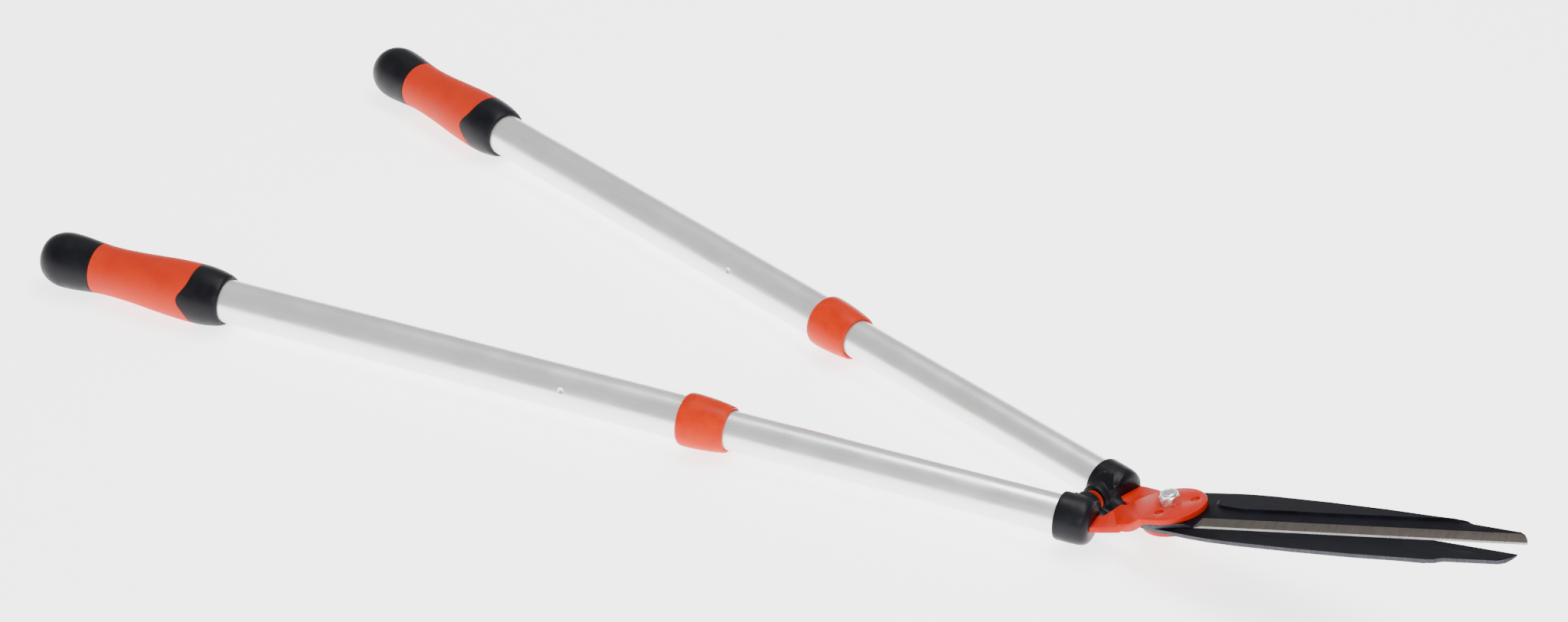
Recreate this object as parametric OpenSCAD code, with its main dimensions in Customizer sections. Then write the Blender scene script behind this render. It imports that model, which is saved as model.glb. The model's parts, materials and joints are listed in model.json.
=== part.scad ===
// Telescopic hedge shears: two crossed blades on a pivot bolt, each on its own telescoping handle.
// The handle plane lies level; the blades rise from it towards their tips.
// Millimetres. X runs from the grips to the blade tips, Y across the handles, Z up.
// The origin is on the ground under the middle of the overall length.

/* [Attitude] */
// Angle between the blades and the plane of the handles
crank = 16.4; // [14:0.2:18]
// Angle of each handle from the middle line
splay = 11.7; // [10:0.1:13]
// Distance of each handle's axis from the pivot, square to the handle
handle_offset = 10.2; // [9:0.1:11.5]
// Depth of the handle plane under the blades' meeting face, along the pivot
axis_drop = 17.7; // [16:0.1:19]
// Distance of the pivot ahead of the middle of the overall length
pivot_x = 304.6; // [298:0.1:312]

/* [Blades] */
// Thickness of each blade
blade_t = 3; // [2.5:0.1:3.5]
// Distance from the pivot to the cutting tip
blade_reach = 260; // [240:1:280]
// Width of the ground bevel
bevel_w = 9.2; // [7:0.1:11]
// Height of the land that is left at the cutting edge
edge_land = 0.5; // [0.3:0.1:1]
// Height of the pressed spine panel above the blade
spine_rise = 1.4; // [0.8:0.1:2]

/* [Tang plates] */
// Thickness of each tang plate
plate_t = 4; // [3:0.1:5]
// Radius of the round end of a plate
plate_r = 23.5; // [22:0.5:25]
// Width of the tang inside the handle
tang_w = 20; // [16:0.5:21]
// Diameter of the two half-sheared buttons that key a plate to its blade
button_d = 6.4; // [5:0.1:7]

/* [Pivot] */
// Diameter of the pivot bolt
bolt_d = 8; // [6:1:10]
// Outer diameter of the pivot bush
bush_d = 11; // [10:0.5:12]
// Width of the nut across its corners
nut_corners = 15; // [13:0.1:16]
// Height of the lock nut
nut_h = 8; // [7:0.1:9]
// Turn of the nut about the bolt
nut_turn = 44; // [0:1:60]

/* [Tubes] */
// Outer diameter of the outer tube
outer_d = 32; // [30:0.5:34]
// Outer diameter of the inner tube
inner_d = 28; // [26:0.5:30]
// Wall of both tubes
tube_wall = 1.5; // [1.2:0.1:1.6]
// Distance along the handle to the front of the inner tube
inner_start = 62; // [60:1:66]
// Distance along the handle to the rear end of the inner tube
inner_end = 453; // [440:1:470]
// Distance along the handle to the front of the outer tube
outer_start = 346; // [342:1:350]
// Distance along the handle to the rear end of the outer tube
outer_end = 876; // [866:1:878]

/* [Head caps] */
// Distance along the handle to the front face of a head cap
cap_front = 57; // [55:1:59]
// Distance along the handle to the rear rim of a head cap
cap_rim = 79; // [76:1:84]
// Outer radius of a head cap
cap_r = 16.6; // [15.5:0.1:18]
// Radius of the bumper boss on a cap
boss_r = 9.5; // [8:0.5:10]
// Distance of the boss axis behind the handle plane's centre
boss_x = 64; // [62:1:66]

/* [Collars] */
// Distance along the handle to the front of a lock collar
collar_front = 324; // [320:1:327]
// Distance along the handle to the rear rim of a lock collar
collar_rear = 359; // [356:1:362]
// Largest radius of a lock collar
collar_r = 19.2; // [18:0.1:20]

/* [Grips] */
// Distance along the handle to the front rim of a grip
grip_front = 728; // [720:0.5:732]
// Distance along the handle to the flat end of a grip
grip_end = 883; // [880:1:890]
// Radius of the front flare
flare_r = 22; // [21:0.1:23]
// Radius of the waist
waist_r = 18.3; // [17.8:0.1:19.5]
// Radius of the rear bulb
bulb_r = 20.7; // [20:0.1:22]
// Radius of the flat at the end
butt_r = 9; // [7:0.5:11]

/* [Hidden] */
$fn = 64;

NEAR = 1;
FAR = -1;
SLIP = 0.05;                      // radial running clearance
eps = 0.01;

handle_z = flare_r;               // the grips' flares carry the handles on the ground
plane_x = pivot_x + axis_drop * sin(crank);
pivot_z = handle_z + axis_drop * cos(crank);

outer_r = outer_d / 2;
inner_r = inner_d / 2;
outer_bore = outer_r - tube_wall;
inner_bore = inner_r - tube_wall;

edge_start = [24.6, -18.3];       // where the cutting edge begins
edge_tip = [blade_reach, 6];
edge_angle = atan2(edge_tip.y - edge_start.y, edge_tip.x - edge_start.x);
edge_length = norm(edge_tip - edge_start);

stack_top = blade_t + plate_t;    // outer face of a plate, from the blades' meeting face
buttons = [[14, 8.7], [-0.6, -13.8]];
button_depth = 1.5;

// Corners of the upper plate's bends seen from above: at the disc, at the arm's start and in the handle plane
disc_bend = [[-10.4, -25.6], [-28.6, -6.4]];
arm_end = [[-33.5, -18], [-43, -2.9]];
arm_bend = [[-31.5, -18.6], [-42, -2.8]];
arm_turn = 43.6;                  // turn of the arm from the middle line
bend_u = 25.7;                    // distance of the disc's bend from the pivot, along the arm
arm_u = 34;                       // distance of the arm's bend from the pivot, along the arm
arm_level = -8.8;                 // underside of the arm at its bend, in the blades' frame
// Corners of the lower plate's arm in the handle plane, turned over, from outside to inside
flat_arm = [[-49.6, -33.2], [-44.3, -34.9], [-44.3, -13.2], [-50, -11.6]];
tang_end = 100;
pin_s = 74;                       // the cross pin that holds tang, core and tube together
pin_r = 2.5;

boss_face = 2.6;                  // half gap between the two bosses
buffer_r = 6.6;
buffer_out = 0.8;                 // how far a buffer stands out of its boss
buffer_depth = 3;

panel_front = 760;
panel_rear = 838;
panel_t = 2;
flare_s = 754;
waist_s = 827;
bulb_s = 864;

// Half a cosine wave from a to b while t runs from 0 to 1
function ease(a, b, t) = a + (b - a) * (1 - cos(180 * t)) / 2;
// Radius of the grip at distance s along the handle
function grip_radius(s) =
  s < flare_s ? flare_r - (flare_r - 18.4) * pow((flare_s - s) / (flare_s - grip_front), 2.2) :
  s < waist_s ? ease(flare_r, waist_r, (s - flare_s) / (waist_s - flare_s)) :
  s < bulb_s ? ease(waist_r, bulb_r, (s - waist_s) / (bulb_s - waist_s)) :
  butt_r + (bulb_r - butt_r) * sqrt(max(0, 1 - pow((s - bulb_s) / (grip_end - bulb_s), 2)));
function arc(c, r, from, to, n) = [for (i = [0 : n]) c + r * [cos(from + (to - from) * i / n), sin(from + (to - from) * i / n)]];

// Frames: the blades' own plane, the handle plane, and each handle's axis along +X
module blade_frame() translate([pivot_x, 0, pivot_z]) rotate([0, -crank, 0]) children();
module handle_plane() translate([plane_x, 0, handle_z]) children();
module handle(side) handle_plane() rotate([0, 0, 180 + side * splay]) translate([0, side * handle_offset, 0]) children();
// Pieces made for the upper half, turned over for the lower half
module turned_over(side) rotate([side == NEAR ? 0 : 180, 0, 0]) children();
module mirrored(side) mirror([0, side == NEAR ? 0 : 1, 0]) children();
// A profile of [radius, distance] points spun about the handle's axis
module spun(points) rotate([0, 90, 0]) rotate_extrude() polygon(points);
module rod(r, from, to) translate([from, 0, 0]) rotate([0, 90, 0]) cylinder(r = r, h = to - from);
module pipe(outer, bore, from, to) difference() {
  rod(outer, from, to);
  rod(bore, from - 1, to + 1);
}

// ---- Blades ----
module blade_outline() polygon(concat(
  [edge_start, edge_tip, edge_tip + [1, -1.4], edge_tip + [-3, 7], edge_tip + [-8, 10.6]],
  [[216, 20.6], [212, 23.6], [206, 24.6], [188, 25.6], [150, 28.2], [107, 29.6], [66, 30], [44, 29.4], [30, 28]],
  [[20, 26.6], [10, 25.8], [0, 24.8], [-7, 22.4]],
  arc([-8.6, 9.8], 11.5, 100, 180, 6),
  [[-20.6, -4], [-17.6, -12], [-12.4, -19.6], [-10.4, -22], [-8, -23.6]],
  [[-3, -24.8], [3, -24.2], [11, -21.7], [20, -18.9]]
));

module spine_panel() linear_extrude(spine_rise + eps) polygon(concat(
  [[56, 6.5], [116, 12.2], [172, 18.4], [204, 21.8]],
  [[204, 23.4], [188, 24.4], [150, 27], [107, 28.4], [66, 28.8], [46, 28.4], [32, 27]],
  arc([36, 19], 9.5, 150, 270, 6)
));

// The wedge ground away above the cutting edge
module bevel_cut() translate(edge_start) rotate(edge_angle)
  rotate([90, 0, 90]) linear_extrude(edge_length + 20) polygon([
    [-4, edge_land - 4 * (blade_t - edge_land) / bevel_w], [bevel_w, blade_t],
    [bevel_w, blade_t + 3], [-4, blade_t + 3]
  ]);

module blade(bore) difference() {
  union() {
    translate([0, 0, SLIP]) linear_extrude(blade_t - SLIP) blade_outline();
    translate([0, 0, blade_t - eps]) spine_panel();
  }
  bevel_cut();
  translate([0, 0, -1]) cylinder(d = bore, h = blade_t + 2);
  for (b = buttons) translate([b.x, b.y, blade_t - button_depth - 0.1]) cylinder(d = button_d + 0.1, h = 4);
}

// ---- Tang plates ----
// The plate's outline from above, from its round end to where its arm is level with the handles
module plate_outline() polygon(concat(
  [arm_end[0], disc_bend[0]],
  arc([1.8, -1], plate_r, -75, 100, 28),
  [[-15, 14.4], [-22, 5.2], disc_bend[1], arm_end[1]]
));

// The lower plate's outline, turned over: it stays flat until it meets the handle plane
module flat_outline() polygon(concat(
  [[-43.9, -13.2], [-43.9, -34.6], [-38, -34.4], [-30, -32.2], [-14, -26.2]],
  arc([1.8, -1], plate_r, -100, 100, 30),
  [[-15, 14.4], [-22, 5.2], [-26.8, -2.8], [-31, -9.6], [-36.4, -12.6]]
));

// The upper plate's section along its arm: flat at z = level, then stepping to the handle plane
module plate_section(level) {
  shift = 1.9;
  polygon([
    [-40, level + plate_t], [bend_u, level + plate_t], [arm_u, arm_level + plate_t],
    [arm_u + 8, arm_level + plate_t + 1.7], [arm_u + 8, arm_level + 1.7], [arm_u - shift, arm_level],
    [bend_u - shift, level], [-40, level]
  ]);
}

// A point given along and across the near handle, in the handle plane
function on_handle(s, y) = [-s * cos(splay) + (handle_offset + y) * sin(splay), -s * sin(splay) - (handle_offset + y) * cos(splay)];

module tang(arm) {
  corner_s = cap_front - 3;
  // the arm, from its bend to the cap
  handle_plane() translate([0, 0, -plate_t / 2]) linear_extrude(plate_t)
    polygon(concat(arm, [on_handle(corner_s, -tang_w / 2), on_handle(corner_s, tang_w / 2)]));
  // the straight tang inside the handle
  handle(NEAR) translate([corner_s, -tang_w / 2, -plate_t / 2]) cube([tang_end - corner_s, tang_w, plate_t]);
}

// side NEAR lies on top of the upper blade, side FAR under the lower one
module tang_plate(side, bore) mirrored(side) {
  level = side == NEAR ? blade_t : -stack_top;
  difference() {
    union() {
      if (side == NEAR) blade_frame() intersection() {
        translate([0, 0, -40]) linear_extrude(80) plate_outline();
        rotate(180 + arm_turn) translate([0, 60, 0]) rotate([90, 0, 0]) linear_extrude(120) plate_section(level);
      }
      else blade_frame() translate([0, 0, level]) linear_extrude(plate_t) flat_outline();
      tang(side == NEAR ? arm_bend : flat_arm);
      blade_frame() for (b = buttons)
        translate([b.x, b.y, side == NEAR ? blade_t - button_depth : -blade_t - 1])
          cylinder(d = button_d, h = button_depth + 1);
    }
    blade_frame() translate([0, 0, level - 5]) cylinder(d = bore, h = plate_t + 10);
    // the pressed side of each button
    blade_frame() for (b = buttons)
      translate([b.x, b.y, side == NEAR ? stack_top - button_depth : -stack_top - 1])
        cylinder(d = button_d + 0.2, h = button_depth + 1);
    handle(NEAR) translate([pin_s, 0, -10]) cylinder(r = pin_r + 0.05, h = 20);
  }
}

// ---- Pivot ----
washer_t = 0.9;
head_h = 5.3;
// A hexagon whose corners are chamfered at z = top, down to a circle of radius face_r
module chamfered_hex(h, face_r, top) difference() {
  out = top > 0 ? 1 : -1;
  rotate(nut_turn) cylinder(d = nut_corners, h = h, $fn = 6);
  rotate_extrude() polygon([
    [face_r - 1.7, top + out], [nut_corners, top + out], [nut_corners, top - out * (nut_corners - face_r) / 1.7]
  ]);
}
module pivot_bolt() color("silver") blade_frame() {
  translate([0, 0, -stack_top - washer_t - head_h]) chamfered_hex(head_h, 6.2, 0);
  translate([0, 0, -stack_top - washer_t - eps]) cylinder(d = bolt_d, h = 2 * stack_top + washer_t + nut_h - 0.6);
}
module pivot_bush() color("silver") blade_frame() difference() {
  translate([0, 0, -stack_top]) cylinder(d = bush_d, h = 2 * stack_top);
  translate([0, 0, -stack_top - 1]) cylinder(d = bolt_d + 0.1, h = 2 * stack_top + 2);
}
module spring_washer() color("silver") blade_frame() translate([0, 0, -stack_top - washer_t]) difference() {
  cylinder(d = 14, h = washer_t);
  translate([0, 0, -1]) cylinder(d = bolt_d + 0.4, h = washer_t + 2);
  translate([0, -0.4, -1]) cube([10, 0.8, washer_t + 2]);
}
hex_h = nut_h * 0.74;
insert_h = 1.6;
module pivot_nut() color("gainsboro") blade_frame() translate([0, 0, stack_top + SLIP]) difference() {
  union() {
    chamfered_hex(hex_h, 6.5, hex_h);
    cylinder(r = 6.1, h = nut_h - 0.7);
    translate([0, 0, nut_h - 0.7 - eps]) cylinder(r1 = 6.1, r2 = 5.4, h = 0.7);
  }
  translate([0, 0, -1]) cylinder(d = bolt_d + 0.04, h = nut_h + 2);
  translate([0, 0, nut_h - insert_h - 0.3]) cylinder(r = 5.2, h = 3);
}
module nut_insert() color("gray") blade_frame() translate([0, 0, stack_top + SLIP + nut_h - insert_h - 0.3]) difference() {
  cylinder(r = 5.15, h = insert_h);
  translate([0, 0, -1]) cylinder(d = bolt_d + 0.04, h = 4);
}

// ---- Head cap with its bumper boss ----
cap_round = 5;
module boss(r, from, to) handle_plane() translate([-boss_x, 0, 0]) rotate([90, 0, 0])
  translate([0, 0, from]) cylinder(r = r, h = to - from);

module head_cap(side) color([0.06, 0.06, 0.08]) mirrored(side) difference() {
  union() {
    handle(NEAR) spun(concat(
      [[0, cap_front]],
      [for (i = [0 : 6]) [cap_r - cap_round + cap_round * sin(15 * i), cap_front + cap_round - cap_round * cos(15 * i)]],
      [[cap_r - 0.3, cap_rim - 0.8], [cap_r - 1, cap_rim], [0, cap_rim]]
    ));
    boss(boss_r, boss_face, 20);
  }
  handle(NEAR) rod(inner_r + 0.02, inner_start - 0.02, cap_rim + 1);
  boss(buffer_r + 0.05, 0, boss_face + buffer_depth - buffer_out);
  handle(NEAR) translate([cap_front - 10, -tang_w / 2 - 0.1, -plate_t / 2 - 0.1]) cube([30, tang_w + 0.2, plate_t + 0.2]);
  // room for the arm where it bends into the cap
  handle_plane() translate([-boss_x + 6, -40, -plate_t / 2 - 0.1]) cube([20, 60, plate_t + 0.2]);
}
module buffer(side) color("orangered") mirrored(side) boss(buffer_r, boss_face - buffer_out, boss_face - buffer_out + buffer_depth);

// ---- Inside the front of a handle ----
module tang_core(side) color([0.3, 0.3, 0.32]) mirrored(side) handle(NEAR) difference() {
  rod(inner_bore - 0.03, inner_start + 2, tang_end + 6);
  translate([inner_start, -tang_w / 2 - 0.05, -plate_t / 2 - 0.05]) cube([tang_end - inner_start + 0.1, tang_w + 0.1, plate_t + 0.1]);
  translate([pin_s, 0, -20]) cylinder(r = pin_r + 0.05, h = 40);
}
module head_pin(side) color("silver") mirrored(side) handle(NEAR)
  translate([pin_s, 0, -inner_r + 0.4]) cylinder(r = pin_r, h = 2 * inner_r - 0.8);

module inner_tube(side) color("lightgray") handle(side) difference() {
  pipe(inner_r, inner_bore, inner_start, inner_end);
  translate([pin_s, 0, -20]) cylinder(r = pin_r + 0.05, h = 40);
}
plug_head = 20;
module guide_plug(side) color([0.1, 0.1, 0.12]) handle(side) {
  difference() {
    union() {
      rod(inner_bore - 0.06, inner_end - 22, inner_end + 1);
      rod(outer_bore - SLIP, inner_end, inner_end + plug_head);
    }
    rod(9, inner_end - 23, inner_end + plug_head + 1);
  }
}

// ---- Sliding rear of a handle ----
dimple_s = 449;
dimple_turn = 25;
module outer_tube(side) color("lightgray") handle(side) difference() {
  pipe(outer_r, outer_bore, outer_start, outer_end);
  translate([dimple_s, 0, 0]) rotate([dimple_turn, 0, 0]) translate([0, outer_r + 3.4, 0]) sphere(r = 4.2);
}
collet_front = 329;
module collet(side) color([0.12, 0.12, 0.14]) handle(side) difference() {
  union() {
    pipe(outer_r - 0.1, inner_r + SLIP, collet_front, outer_start);
    pipe(outer_bore - 0.03, inner_r + SLIP, outer_start - 1, outer_start + 28);
  }
  for (a = [0, 45, 90, 135]) rotate([a, 0, 0]) translate([collet_front - 1, -20, -0.6]) cube([12, 40, 1.2]);
}
module lock_collar(side) color("orangered") handle(side) difference() {
  spun([
    [inner_r + 0.3, collar_front + 0.6], [inner_r + 0.9, collar_front], [15.6, collar_front], [16.4, collar_front + 0.4],
    [17.2, collar_front + 2], [17.9, collar_front + 5], [18.5, collar_front + 12], [18.9, collar_front + 20],
    [collar_r, collar_front + 30], [collar_r, collar_rear - 5], [18.9, collar_rear - 2], [18.2, collar_rear - 0.5],
    [17.4, collar_rear], [outer_r + 0.3, collar_rear], [outer_r + 0.3, collet_front - 1], [inner_r + 0.3, collet_front - 1]
  ]);
  rod(15.3, collar_front + 1.6, collar_front + 4.7);
}
module wiper_ring(side) color([0.1, 0.1, 0.1]) handle(side)
  pipe(15.25, inner_r + 0.08, collar_front + 1.65, collar_front + 4.65);

// ---- Grip ----
function grip_points(from, to, n, inset) = [for (i = [0 : n]) let (s = from + (to - from) * i / n) [grip_radius(s) - inset, s]];
module grip_body(side) color([0.07, 0.07, 0.09]) handle(side) spun(concat(
  [[outer_r + 0.02, grip_front + 1], [outer_r + 0.8, grip_front]],
  grip_points(grip_front, panel_front, 10, 0),
  grip_points(panel_front, panel_rear, 16, panel_t),
  grip_points(panel_rear, grip_end, 24, 0),
  [[0, grip_end], [0, outer_end + 0.05], [outer_r + 0.02, outer_end + 0.05]]
));
module grip_panel(side) color("orangered") handle(side) spun(concat(
  grip_points(panel_front, panel_rear, 16, 0),
  grip_points(panel_rear, panel_front, 16, panel_t)
));
module end_plug(side) color([0.15, 0.15, 0.15]) handle(side) rod(outer_bore - 0.08, outer_end - 18, outer_end);

module upper_blade() color([0.05, 0.05, 0.07]) blade_frame() blade(bush_d + 2 * SLIP);
module lower_blade() color([0.12, 0.12, 0.15]) blade_frame() turned_over(FAR) blade(bush_d + 0.04);
module upper_tang_plate() color([0.95, 0.25, 0]) tang_plate(NEAR, bush_d + 2 * SLIP);
module lower_tang_plate() color([0.85, 0.2, 0]) tang_plate(FAR, bush_d + 0.04);

upper_blade();
lower_blade();
upper_tang_plate();
lower_tang_plate();
pivot_bolt();
pivot_bush();
spring_washer();
pivot_nut();
nut_insert();
head_cap(NEAR);  // near_head_cap
buffer(NEAR);  // near_buffer
tang_core(NEAR);  // near_tang_core
head_pin(NEAR);  // near_head_pin
inner_tube(NEAR);  // near_inner_tube
guide_plug(NEAR);  // near_guide_plug
outer_tube(NEAR);  // near_outer_tube
collet(NEAR);  // near_collet
lock_collar(NEAR);  // near_lock_collar
wiper_ring(NEAR);  // near_wiper_ring
grip_body(NEAR);  // near_grip_body
grip_panel(NEAR);  // near_grip_panel
end_plug(NEAR);  // near_end_plug
head_cap(FAR);  // far_head_cap
buffer(FAR);  // far_buffer
tang_core(FAR);  // far_tang_core
head_pin(FAR);  // far_head_pin
inner_tube(FAR);  // far_inner_tube
guide_plug(FAR);  // far_guide_plug
outer_tube(FAR);  // far_outer_tube
collet(FAR);  // far_collet
lock_collar(FAR);  // far_lock_collar
wiper_ring(FAR);  // far_wiper_ring
grip_body(FAR);  // far_grip_body
grip_panel(FAR);  // far_grip_panel
end_plug(FAR);  // far_end_plug
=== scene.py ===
import bpy
import json
import math
from mathutils import Matrix, Vector


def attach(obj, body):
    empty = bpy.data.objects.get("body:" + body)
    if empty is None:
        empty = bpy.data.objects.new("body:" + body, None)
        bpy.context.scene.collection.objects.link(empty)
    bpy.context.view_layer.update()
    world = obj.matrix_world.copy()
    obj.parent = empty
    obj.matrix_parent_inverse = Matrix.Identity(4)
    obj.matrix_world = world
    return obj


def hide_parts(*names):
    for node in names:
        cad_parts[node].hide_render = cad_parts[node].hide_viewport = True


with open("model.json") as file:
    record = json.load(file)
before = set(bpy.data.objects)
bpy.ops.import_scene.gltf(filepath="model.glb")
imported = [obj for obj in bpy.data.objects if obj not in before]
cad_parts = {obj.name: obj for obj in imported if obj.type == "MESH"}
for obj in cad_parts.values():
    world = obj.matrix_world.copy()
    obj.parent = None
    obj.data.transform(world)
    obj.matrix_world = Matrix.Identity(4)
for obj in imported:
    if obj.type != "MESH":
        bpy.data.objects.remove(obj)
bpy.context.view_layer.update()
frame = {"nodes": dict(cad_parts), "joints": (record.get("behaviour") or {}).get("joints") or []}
MM = 0.001

# ---- Where things are, from the frame ----
JOINTS = {joint["name"]: joint for joint in frame["joints"]}
PIVOT = Vector(JOINTS["blade_pivot"]["pos_m"])
PIVOT_AXIS = Vector(JOINTS["blade_pivot"]["axis"]).normalized()
# the handle plane lies this far under the blades' meeting face
AXIS_DROP = 17.7 * MM
HANDLE_CENTRE = PIVOT - AXIS_DROP * PIVOT_AXIS
CRANK = math.atan2(-PIVOT_AXIS.x, PIVOT_AXIS.z)
SPLAY = math.radians(11.7)
HANDLE_ASIDE = 10.2                       # millimetres from the pivot to a handle's axis


def plane_matrix(origin, x_axis, z_axis):
    """The matrix of a local frame with that origin, X axis and Z axis."""
    y_axis = z_axis.cross(x_axis).normalized()
    matrix = Matrix((x_axis, y_axis, z_axis)).transposed().to_4x4()
    matrix.translation = origin
    return matrix


def handle_matrix(side):
    """A handle's frame: X from the head to the grip along its axis, Y to the near side, Z up."""
    joint = JOINTS[side + "_lock_twist"]
    along = -Vector(joint["axis"]).normalized()
    on_axis = Vector(joint["pos_m"])
    foot = on_axis + along * (Vector((HANDLE_CENTRE.x, 0, on_axis.z)) - on_axis).dot(along)
    return plane_matrix(foot, along, Vector((0, 0, 1)))


BLADES = plane_matrix(PIVOT, Vector((PIVOT_AXIS.z, 0, -PIVOT_AXIS.x)), PIVOT_AXIS)
HANDLES = {side: handle_matrix(side) for side in ("near", "far")}
TURNED_OVER = Matrix.Rotation(math.pi, 4, "X")

# ---- Sizes in millimetres ----
BLADE_T = 3.0
PLATE_T = 4.0
STACK_TOP = BLADE_T + PLATE_T
RUNNING_GAP = 0.05
BUSH_R = 5.5
EDGE_LAND = 0.5
BEVEL_W = 9.2
SPINE_RISE = 1.4
BUTTONS = [(14, 8.7), (-0.6, -13.8)]
KEY_HOLE_R, KEY_HOLE_DEPTH = 3.3, 1.6     # the blades' holes for the plates' buttons
BUTTON_R, BUTTON_DEPTH = 3.2, 1.5         # the pressed side of a button
# distances along a handle from the head's centre
CAP_FRONT, CAP_RIM = 55.6, 79
COLLAR_FRONT, COLLAR_REAR = 324, 359
GRIP_FRONT, GRIP_END = 728, 883
FLARE_AT, WAIST_AT, BULB_AT = 754, 827, 864
PANEL_FRONT, PANEL_REAR = 752.5, 837.5
GRIP_FLOOR = 877                          # the grip's inner floor, behind the tube's end
FLARE_R, WAIST_R, BULB_R, BUTT_R = 22, 18.3, 20.7, 9


# ---- Modelling helpers ----
def clear_selection():
    if bpy.context.object and bpy.context.object.mode == "EDIT":
        bpy.ops.object.mode_set(mode="OBJECT")
    bpy.ops.object.select_all(action="DESELECT")


def open_piece(piece, select="SELECT"):
    """Opens the piece in edit mode with all or none of it selected."""
    clear_selection()
    piece.select_set(True)
    bpy.context.view_layer.objects.active = piece
    bpy.ops.object.mode_set(mode="EDIT")
    bpy.ops.mesh.select_all(action=select)


def close_piece():
    bpy.ops.object.mode_set(mode="OBJECT")


def pick(piece, kind, wanted):
    """Opens the piece in edit mode with the wanted corners, edges or faces selected."""
    open_piece(piece, "DESELECT")
    bpy.ops.mesh.select_mode(type=kind)
    close_piece()
    items = {"VERT": piece.data.vertices, "EDGE": piece.data.edges, "FACE": piece.data.polygons}[kind]
    for item in items:
        item.select = bool(wanted(item))
    bpy.ops.object.mode_set(mode="EDIT")


def tidy_mesh(piece):
    """Merges doubles and turns the faces outwards."""
    open_piece(piece)
    bpy.ops.mesh.remove_doubles(threshold=0.00001)
    bpy.ops.mesh.normals_make_consistent(inside=False)
    close_piece()


def apply_modifier(piece, kind, **settings):
    clear_selection()
    piece.select_set(True)
    bpy.context.view_layer.objects.active = piece
    modifier = piece.modifiers.new(kind.lower(), kind)
    for key, value in settings.items():
        setattr(modifier, key, value)
    bpy.ops.object.modifier_apply(modifier=modifier.name)


def combine(piece, tool, how):
    """Cuts the tool from the piece, or joins it to the piece, and removes the tool."""
    apply_modifier(piece, "BOOLEAN", operation=how, object=tool, solver="EXACT")
    bpy.data.objects.remove(tool)


def place(piece, matrix):
    """Moves the piece's shape from its local frame to its place, with its object left at the origin."""
    clear_selection()
    piece.select_set(True)
    bpy.context.view_layer.objects.active = piece
    piece.matrix_world = matrix
    bpy.ops.object.transform_apply(location=True, rotation=True, scale=True)


def outline_face(name, points, z):
    """A flat face with those corners at that height."""
    clear_selection()
    bpy.ops.mesh.primitive_circle_add(vertices=len(points), radius=0.02, fill_type="NGON")
    piece = bpy.context.object
    piece.name = piece.data.name = name
    for vertex, (x, y) in zip(piece.data.vertices, points):
        vertex.co = Vector((x, y, z)) * MM
    return piece


def raise_slab(piece, height):
    """Extrudes the flat face into a slab."""
    open_piece(piece)
    bpy.ops.mesh.extrude_region_move(TRANSFORM_OT_translate={"value": (0, 0, height * MM)})
    close_piece()
    tidy_mesh(piece)


def rod(name, radius, low, high, at=(0, 0), sides=48):
    """A cylinder along Z."""
    clear_selection()
    bpy.ops.mesh.primitive_cylinder_add(vertices=sides, radius=radius * MM, depth=(high - low) * MM,
                                        location=(at[0] * MM, at[1] * MM, (low + high) / 2 * MM))
    piece = bpy.context.object
    piece.name = piece.data.name = name
    bpy.ops.object.transform_apply(location=True, rotation=True, scale=True)
    return piece


def turned(name, profile, steps=96):
    """A shape turned about X from a profile of (distance, radius) points."""
    clear_selection()
    bpy.ops.mesh.primitive_plane_add(size=0.001)
    piece = bpy.context.object
    piece.name = piece.data.name = name
    open_piece(piece)
    bpy.ops.mesh.merge(type="CENTER")
    close_piece()
    piece.data.vertices[0].co = Vector((profile[0][0], 0, profile[0][1])) * MM
    open_piece(piece)
    for (s0, r0), (s1, r1) in zip(profile, profile[1:]):
        step = ((s1 - s0) * MM, 0, (r1 - r0) * MM)
        bpy.ops.mesh.extrude_region_move(TRANSFORM_OT_translate={"value": step})
    bpy.ops.mesh.select_all(action="SELECT")
    bpy.ops.mesh.spin(steps=steps, angle=2 * math.pi, center=(0, 0, 0), axis=(1, 0, 0))
    close_piece()
    tidy_mesh(piece)
    return piece


def soften(piece, width, segments=2, angle=35):
    """Rounds the sharp edges."""
    apply_modifier(piece, "BEVEL", width=width * MM, segments=segments, limit_method="ANGLE",
                   angle_limit=math.radians(angle), use_clamp_overlap=True)


def smooth(piece, angle=40):
    clear_selection()
    piece.select_set(True)
    bpy.context.view_layer.objects.active = piece
    bpy.ops.object.shade_smooth_by_angle(angle=math.radians(angle))


def hand_over(piece, body, slot, materials, *nodes):
    """Gives the piece its materials and body, and puts it in place of its CAD nodes; the slot argument is
    not used.
    """
    # clearing the list forgets which face has which finish
    finishes = [face.material_index for face in piece.data.polygons]
    piece.data.materials.clear()
    for material in materials:
        piece.data.materials.append(material)
    for face, finish in zip(piece.data.polygons, finishes):
        face.material_index = finish if finish < len(materials) else 0
    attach(piece, body)
    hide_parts(*nodes)


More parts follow.
